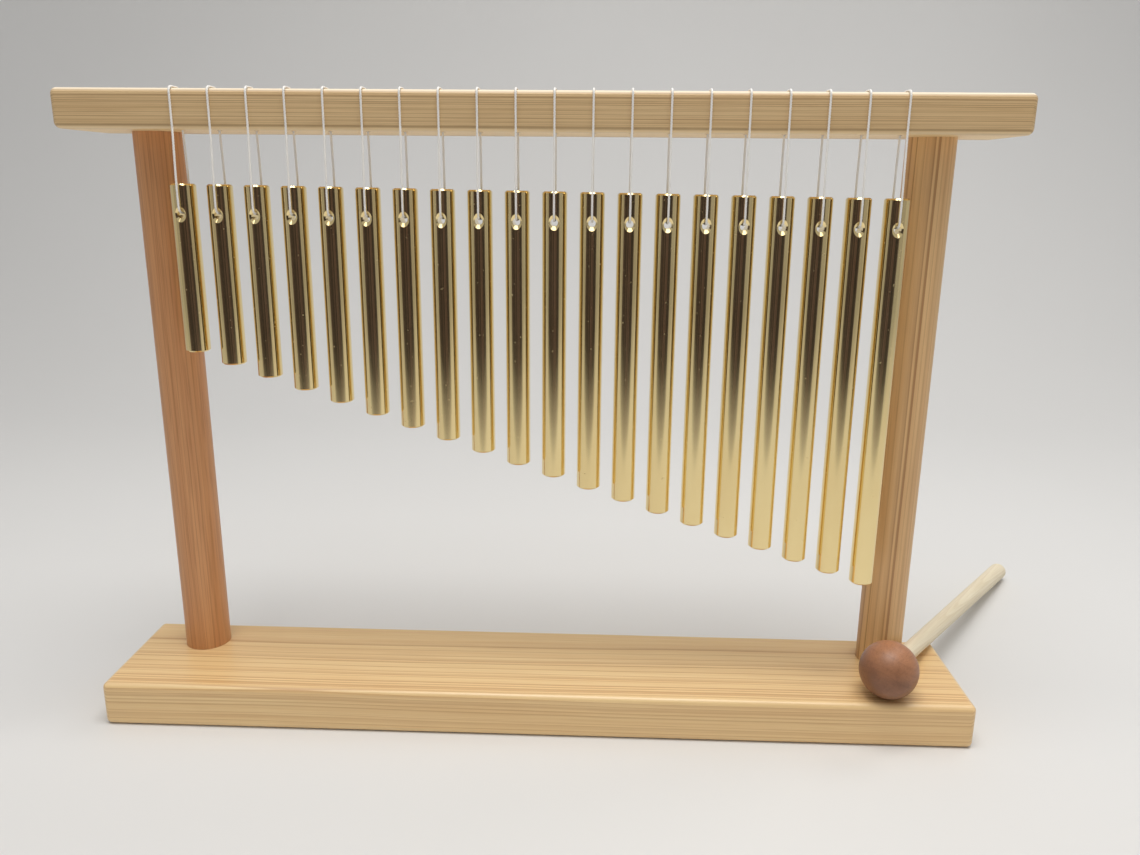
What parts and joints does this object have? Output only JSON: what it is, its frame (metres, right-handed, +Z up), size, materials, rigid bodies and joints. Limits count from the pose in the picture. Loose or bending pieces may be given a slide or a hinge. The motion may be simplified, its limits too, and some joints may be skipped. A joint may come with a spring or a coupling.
{
  "type": "bar chimes",
  "caption": "Table-top bar chimes: a row of gold bars of rising length hung on cord loops from a pine rail on two dowel posts and a base board, with a ball mallet.",
  "frame": {"origin": "centre of the base board's underside, where the object stands", "axes": "+X along the row towards the longest bar, +Y away from the player, +Z up"},
  "size_m": [0.4698, 0.19, 0.2712],
  "materials": {
    "base_pine": "satin lacquered pine",
    "rail_pine": "satin pale pine",
    "left_post_wood": "satin reddish softwood dowel",
    "right_post_wood": "satin tan softwood dowel",
    "bar_gold": "mirror polished gold",
    "cord_white": "twisted white cord",
    "mallet_ball_wood": "matt reddish hardwood",
    "mallet_handle_wood": "bare pale wood",
    "screw_steel": "zinc plated"
  },
  "bodies": {
    "stand": {"base_board": "base_pine", "top_rail": "rail_pine", "left_post": "left_post_wood", "right_post": "right_post_wood", "base_screws": "screw_steel", "cord_wraps": "cord_white"},
    "mallet": {"mallet_ball": "mallet_ball_wood", "mallet_handle": "mallet_handle_wood"},
    "cord_01": {"cord_loop_01": "cord_white"},
    "bar_01": {"chime_bar_01": "bar_gold"},
    "cord_02": {"cord_loop_02": "cord_white"},
    "bar_02": {"chime_bar_02": "bar_gold"},
    "cord_03": {"cord_loop_03": "cord_white"},
    "bar_03": {"chime_bar_03": "bar_gold"},
    "cord_04": {"cord_loop_04": "cord_white"},
    "bar_04": {"chime_bar_04": "bar_gold"},
    "cord_05": {"cord_loop_05": "cord_white"},
    "bar_05": {"chime_bar_05": "bar_gold"},
    "cord_06": {"cord_loop_06": "cord_white"},
    "bar_06": {"chime_bar_06": "bar_gold"},
    "cord_07": {"cord_loop_07": "cord_white"},
    "bar_07": {"chime_bar_07": "bar_gold"},
    "cord_08": {"cord_loop_08": "cord_white"},
    "bar_08": {"chime_bar_08": "bar_gold"},
    "cord_09": {"cord_loop_09": "cord_white"},
    "bar_09": {"chime_bar_09": "bar_gold"},
    "cord_10": {"cord_loop_10": "cord_white"},
    "bar_10": {"chime_bar_10": "bar_gold"},
    "cord_11": {"cord_loop_11": "cord_white"},
    "bar_11": {"chime_bar_11": "bar_gold"},
    "cord_12": {"cord_loop_12": "cord_white"},
    "bar_12": {"chime_bar_12": "bar_gold"},
    "cord_13": {"cord_loop_13": "cord_white"},
    "bar_13": {"chime_bar_13": "bar_gold"},
    "cord_14": {"cord_loop_14": "cord_white"},
    "bar_14": {"chime_bar_14": "bar_gold"},
    "cord_15": {"cord_loop_15": "cord_white"},
    "bar_15": {"chime_bar_15": "bar_gold"},
    "cord_16": {"cord_loop_16": "cord_white"},
    "bar_16": {"chime_bar_16": "bar_gold"},
    "cord_17": {"cord_loop_17": "cord_white"},
    "bar_17": {"chime_bar_17": "bar_gold"},
    "cord_18": {"cord_loop_18": "cord_white"},
    "bar_18": {"chime_bar_18": "bar_gold"},
    "cord_19": {"cord_loop_19": "cord_white"},
    "bar_19": {"chime_bar_19": "bar_gold"},
    "cord_20": {"cord_loop_20": "cord_white"},
    "bar_20": {"chime_bar_20": "bar_gold"}
  },
  "joints": [
    {"name": "cord_swing_01", "type": "hinge", "parent": "stand", "child": "cord_01", "pos_m": [-0.1425, -0.00802, 0.25454], "axis": [1, 0, 0], "range_deg": [-20, 20]},
    {"name": "bar_tilt_01", "type": "hinge", "parent": "cord_01", "child": "bar_01", "pos_m": [-0.1425, -0.00802, 0.22184], "axis": [0, 1, 0], "range_deg": [-4.61, 2.3]},
    {"name": "cord_swing_02", "type": "hinge", "parent": "stand", "child": "cord_02", "pos_m": [-0.1275, -0.00802, 0.25454], "axis": [1, 0, 0], "range_deg": [-20, 20]},
    {"name": "bar_tilt_02", "type": "hinge", "parent": "cord_02", "child": "bar_02", "pos_m": [-0.1275, -0.00802, 0.22167], "axis": [0, 1, 0], "range_deg": [-4.23, 4.23]},
    {"name": "cord_swing_03", "type": "hinge", "parent": "stand", "child": "cord_03", "pos_m": [-0.1125, -0.00802, 0.25454], "axis": [1, 0, 0], "range_deg": [-20, 20]},
    {"name": "bar_tilt_03", "type": "hinge", "parent": "cord_03", "child": "bar_03", "pos_m": [-0.1125, -0.00802, 0.22151], "axis": [0, 1, 0], "range_deg": [-3.91, 3.91]},
    {"name": "cord_swing_04", "type": "hinge", "parent": "stand", "child": "cord_04", "pos_m": [-0.0975, -0.00802, 0.25454], "axis": [1, 0, 0], "range_deg": [-20, 20]},
    {"name": "bar_tilt_04", "type": "hinge", "parent": "cord_04", "child": "bar_04", "pos_m": [-0.0975, -0.00802, 0.22134], "axis": [0, 1, 0], "range_deg": [-3.63, 3.63]},
    {"name": "cord_swing_05", "type": "hinge", "parent": "stand", "child": "cord_05", "pos_m": [-0.0825, -0.00802, 0.25454], "axis": [1, 0, 0], "range_deg": [-20, 20]},
    {"name": "bar_tilt_05", "type": "hinge", "parent": "cord_05", "child": "bar_05", "pos_m": [-0.0825, -0.00802, 0.22118], "axis": [0, 1, 0], "range_deg": [-3.39, 3.39]},
    {"name": "cord_swing_06", "type": "hinge", "parent": "stand", "child": "cord_06", "pos_m": [-0.0675, -0.00802, 0.25454], "axis": [1, 0, 0], "range_deg": [-20, 20]},
    {"name": "bar_tilt_06", "type": "hinge", "parent": "cord_06", "child": "bar_06", "pos_m": [-0.0675, -0.00802, 0.22101], "axis": [0, 1, 0], "range_deg": [-3.18, 3.18]},
    {"name": "cord_swing_07", "type": "hinge", "parent": "stand", "child": "cord_07", "pos_m": [-0.0525, -0.00802, 0.25454], "axis": [1, 0, 0], "range_deg": [-20, 20]},
    {"name": "bar_tilt_07", "type": "hinge", "parent": "cord_07", "child": "bar_07", "pos_m": [-0.0525, -0.00802, 0.22085], "axis": [0, 1, 0], "range_deg": [-3, 3]},
    {"name": "cord_swing_08", "type": "hinge", "parent": "stand", "child": "cord_08", "pos_m": [-0.0375, -0.00802, 0.25454], "axis": [1, 0, 0], "range_deg": [-20, 20]},
    {"name": "bar_tilt_08", "type": "hinge", "parent": "cord_08", "child": "bar_08", "pos_m": [-0.0375, -0.00802, 0.22068], "axis": [0, 1, 0], "range_deg": [-2.83, 2.83]},
    {"name": "cord_swing_09", "type": "hinge", "parent": "stand", "child": "cord_09", "pos_m": [-0.0225, -0.00802, 0.25454], "axis": [1, 0, 0], "range_deg": [-20, 20]},
    {"name": "bar_tilt_09", "type": "hinge", "parent": "cord_09", "child": "bar_09", "pos_m": [-0.0225, -0.00802, 0.22051], "axis": [0, 1, 0], "range_deg": [-2.69, 2.69]},
    {"name": "cord_swing_10", "type": "hinge", "parent": "stand", "child": "cord_10", "pos_m": [-0.0075, -0.00802, 0.25454], "axis": [1, 0, 0], "range_deg": [-20, 20]},
    {"name": "bar_tilt_10", "type": "hinge", "parent": "cord_10", "child": "bar_10", "pos_m": [-0.0075, -0.00802, 0.22035], "axis": [0, 1, 0], "range_deg": [-2.55, 2.55]},
    {"name": "cord_swing_11", "type": "hinge", "parent": "stand", "child": "cord_11", "pos_m": [0.0075, -0.00802, 0.25454], "axis": [1, 0, 0], "range_deg": [-20, 20]},
    {"name": "bar_tilt_11", "type": "hinge", "parent": "cord_11", "child": "bar_11", "pos_m": [0.0075, -0.00802, 0.22018], "axis": [0, 1, 0], "range_deg": [-2.43, 2.43]},
    {"name": "cord_swing_12", "type": "hinge", "parent": "stand", "child": "cord_12", "pos_m": [0.0225, -0.00802, 0.25454], "axis": [1, 0, 0], "range_deg": [-20, 20]},
    {"name": "bar_tilt_12", "type": "hinge", "parent": "cord_12", "child": "bar_12", "pos_m": [0.0225, -0.00802, 0.22002], "axis": [0, 1, 0], "range_deg": [-2.32, 2.32]},
    {"name": "cord_swing_13", "type": "hinge", "parent": "stand", "child": "cord_13", "pos_m": [0.0375, -0.00802, 0.25454], "axis": [1, 0, 0], "range_deg": [-20, 20]},
    {"name": "bar_tilt_13", "type": "hinge", "parent": "cord_13", "child": "bar_13", "pos_m": [0.0375, -0.00802, 0.21985], "axis": [0, 1, 0], "range_deg": [-2.22, 2.22]},
    {"name": "cord_swing_14", "type": "hinge", "parent": "stand", "child": "cord_14", "pos_m": [0.0525, -0.00802, 0.25454], "axis": [1, 0, 0], "range_deg": [-20, 20]},
    {"name": "bar_tilt_14", "type": "hinge", "parent": "cord_14", "child": "bar_14", "pos_m": [0.0525, -0.00802, 0.21969], "axis": [0, 1, 0], "range_deg": [-2.13, 2.13]},
    {"name": "cord_swing_15", "type": "hinge", "parent": "stand", "child": "cord_15", "pos_m": [0.0675, -0.00802, 0.25454], "axis": [1, 0, 0], "range_deg": [-20, 20]},
    {"name": "bar_tilt_15", "type": "hinge", "parent": "cord_15", "child": "bar_15", "pos_m": [0.0675, -0.00802, 0.21952], "axis": [0, 1, 0], "range_deg": [-2.05, 2.05]},
    {"name": "cord_swing_16", "type": "hinge", "parent": "stand", "child": "cord_16", "pos_m": [0.0825, -0.00802, 0.25454], "axis": [1, 0, 0], "range_deg": [-20, 20]},
    {"name": "bar_tilt_16", "type": "hinge", "parent": "cord_16", "child": "bar_16", "pos_m": [0.0825, -0.00802, 0.21936], "axis": [0, 1, 0], "range_deg": [-1.97, 1.97]},
    {"name": "cord_swing_17", "type": "hinge", "parent": "stand", "child": "cord_17", "pos_m": [0.0975, -0.00802, 0.25454], "axis": [1, 0, 0], "range_deg": [-20, 20]},
    {"name": "bar_tilt_17", "type": "hinge", "parent": "cord_17", "child": "bar_17", "pos_m": [0.0975, -0.00802, 0.2192], "axis": [0, 1, 0], "range_deg": [-1.9, 1.9]},
    {"name": "cord_swing_18", "type": "hinge", "parent": "stand", "child": "cord_18", "pos_m": [0.1125, -0.00802, 0.25454], "axis": [1, 0, 0], "range_deg": [-20, 20]},
    {"name": "bar_tilt_18", "type": "hinge", "parent": "cord_18", "child": "bar_18", "pos_m": [0.1125, -0.00802, 0.21903], "axis": [0, 1, 0], "range_deg": [-1.83, 1.83]},
    {"name": "cord_swing_19", "type": "hinge", "parent": "stand", "child": "cord_19", "pos_m": [0.1275, -0.00802, 0.25454], "axis": [1, 0, 0], "range_deg": [-20, 20]},
    {"name": "bar_tilt_19", "type": "hinge", "parent": "cord_19", "child": "bar_19", "pos_m": [0.1275, -0.00802, 0.21887], "axis": [0, 1, 0], "range_deg": [-1.77, 1.77]},
    {"name": "cord_swing_20", "type": "hinge", "parent": "stand", "child": "cord_20", "pos_m": [0.1425, -0.00802, 0.25454], "axis": [1, 0, 0], "range_deg": [-20, 20]},
    {"name": "bar_tilt_20", "type": "hinge", "parent": "cord_20", "child": "bar_20", "pos_m": [0.1425, -0.00802, 0.2187], "axis": [0, 1, 0], "range_deg": [-0.85, 1.71]},
    {"name": "mallet_lift", "type": "slide", "parent": "stand", "child": "mallet", "axis": [0.7071, 0, 0.7071], "range_m": [0, 0.15]}
  ]
}
